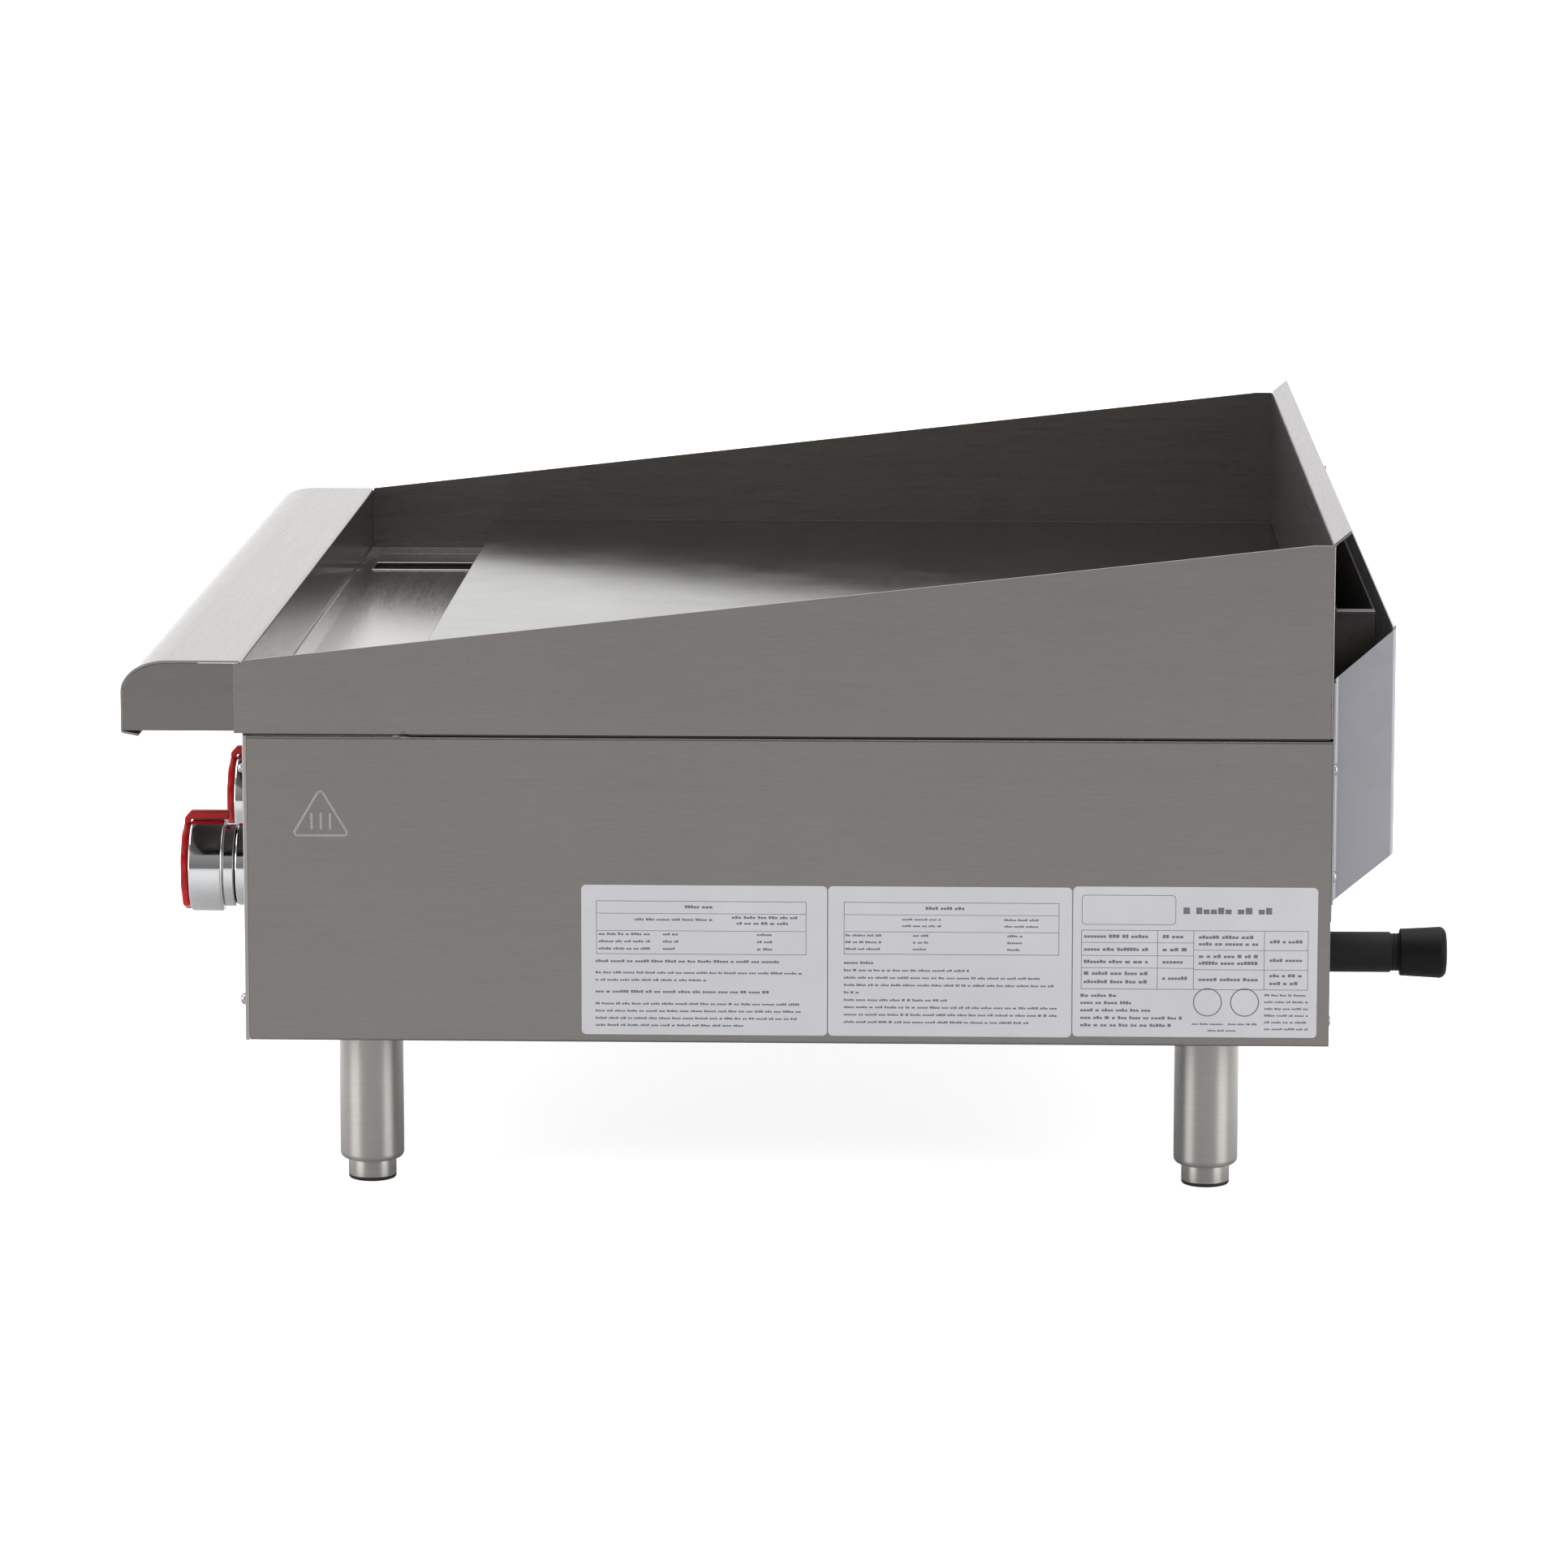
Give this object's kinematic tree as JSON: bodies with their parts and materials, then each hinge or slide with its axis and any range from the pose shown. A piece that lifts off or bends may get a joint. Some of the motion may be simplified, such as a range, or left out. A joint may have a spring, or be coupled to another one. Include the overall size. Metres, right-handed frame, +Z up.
{
  "type": "countertop gas griddle",
  "caption": "Countertop gas griddle with thermostat knobs, a thick steel plate, splash guards, a grease trough and drawer, a rear flue and levelling feet.",
  "frame": {"origin": "middle of the overall outline, on the worktop under the feet", "axes": "+X to the cook's right, +Y to the back, +Z up"},
  "size_m": [0.9144, 0.8516, 0.4319],
  "materials": {
    "stainless": "brushed lengthwise",
    "plate_steel": "ground and lightly oiled",
    "leg_steel": "satin",
    "galvanised": "dull spangle",
    "flue_steel": "satin aluminised",
    "chrome": "bright",
    "red_plastic": "glossy",
    "black_plastic": "satin",
    "black_pipe": "satin black",
    "brass": "machined",
    "cast_aluminium": "as cast",
    "burner_steel": "heat tinted"
  },
  "bodies": {
    "griddle": {"body_side_right": "stainless", "body_side_left": "stainless", "splash_guard_right": "stainless", "splash_guard_left": "stainless", "ledge_cap_right": "stainless", "ledge_cap_left": "stainless", "front_panel": "stainless", "rear_splash": "stainless", "front_ledge": "stainless", "grease_trough": "stainless", "grease_chute": "stainless", "griddle_plate": "plate_steel", "leg_front_right": "leg_steel", "leg_rear_right": "leg_steel", "leg_front_left": "leg_steel", "leg_rear_left": "leg_steel", "rear_panel": "galvanised", "bottom_pan": "galvanised", "heat_shield": "galvanised", "burner_rail": "galvanised", "flue_riser": "galvanised", "drawer_housing": "galvanised", "flue_end_right": "flue_steel", "flue_end_left": "flue_steel", "flue_back_panel": "flue_steel", "gas_manifold": "black_pipe", "gas_inlet_pipe": "black_pipe", "orifice_1": "brass", "orifice_2": "brass", "orifice_3": "brass", "thermostat_1": "cast_aluminium", "thermostat_2": "cast_aluminium", "thermostat_3": "cast_aluminium", "pilot_1": "cast_aluminium", "pilot_2": "cast_aluminium", "pilot_3": "cast_aluminium", "burner_1": "burner_steel", "burner_2": "burner_steel", "burner_3": "burner_steel"},
    "control_1": {"control_stem_1": "brass", "knob_1": "chrome", "knob_grip_1": "red_plastic"},
    "control_2": {"control_stem_2": "brass", "knob_2": "chrome", "knob_grip_2": "red_plastic"},
    "control_3": {"control_stem_3": "brass", "knob_3": "chrome", "knob_grip_3": "red_plastic"},
    "shutter_1": {"air_shutter_1": "galvanised"},
    "shutter_2": {"air_shutter_2": "galvanised"},
    "shutter_3": {"air_shutter_3": "galvanised"},
    "drawer": {"drawer_tray": "stainless", "drawer_front": "stainless", "drawer_handle": "chrome"},
    "cap": {"gas_cap": "black_plastic"},
    "foot_front_right": {"foot_front_right": "leg_steel"},
    "foot_rear_right": {"foot_rear_right": "leg_steel"},
    "foot_front_left": {"foot_front_left": "leg_steel"},
    "foot_rear_left": {"foot_rear_left": "leg_steel"}
  },
  "joints": [
    {"name": "thermostat_turn_1", "type": "hinge", "parent": "griddle", "child": "control_1", "pos_m": [-0.27007, -0.3488, 0.1806], "axis": [0, -1, 0], "range_deg": [0, 270]},
    {"name": "thermostat_turn_2", "type": "hinge", "parent": "griddle", "child": "control_2", "pos_m": [0, -0.3488, 0.1806], "axis": [0, -1, 0], "range_deg": [0, 270]},
    {"name": "thermostat_turn_3", "type": "hinge", "parent": "griddle", "child": "control_3", "pos_m": [0.27007, -0.3488, 0.1806], "axis": [0, -1, 0], "range_deg": [0, 270]},
    {"name": "air_shutter_turn_1", "type": "hinge", "parent": "griddle", "child": "shutter_1", "pos_m": [-0.27007, -0.2568, 0.2243], "axis": [0, 1, 0], "range_deg": [0, 60]},
    {"name": "air_shutter_turn_2", "type": "hinge", "parent": "griddle", "child": "shutter_2", "pos_m": [0, -0.2568, 0.2243], "axis": [0, 1, 0], "range_deg": [0, 60]},
    {"name": "air_shutter_turn_3", "type": "hinge", "parent": "griddle", "child": "shutter_3", "pos_m": [0.27007, -0.2568, 0.2243], "axis": [0, 1, 0], "range_deg": [0, 60]},
    {"name": "drawer_slide", "type": "slide", "parent": "griddle", "child": "drawer", "axis": [0, -1, 0], "range_m": [0, 0.32]},
    {"name": "cap_pull", "type": "slide", "parent": "griddle", "child": "cap", "axis": [0, 1, 0], "range_m": [0, 0.027]},
    {"name": "foot_screw_front_right", "type": "slide", "parent": "griddle", "child": "foot_front_right", "axis": [0, 0, -1], "range_m": [-0.008, 0.02]},
    {"name": "foot_screw_rear_right", "type": "slide", "parent": "griddle", "child": "foot_rear_right", "axis": [0, 0, -1], "range_m": [-0.008, 0.02]},
    {"name": "foot_screw_front_left", "type": "slide", "parent": "griddle", "child": "foot_front_left", "axis": [0, 0, -1], "range_m": [-0.008, 0.02]},
    {"name": "foot_screw_rear_left", "type": "slide", "parent": "griddle", "child": "foot_rear_left", "axis": [0, 0, -1], "range_m": [-0.008, 0.02]}
  ]
}
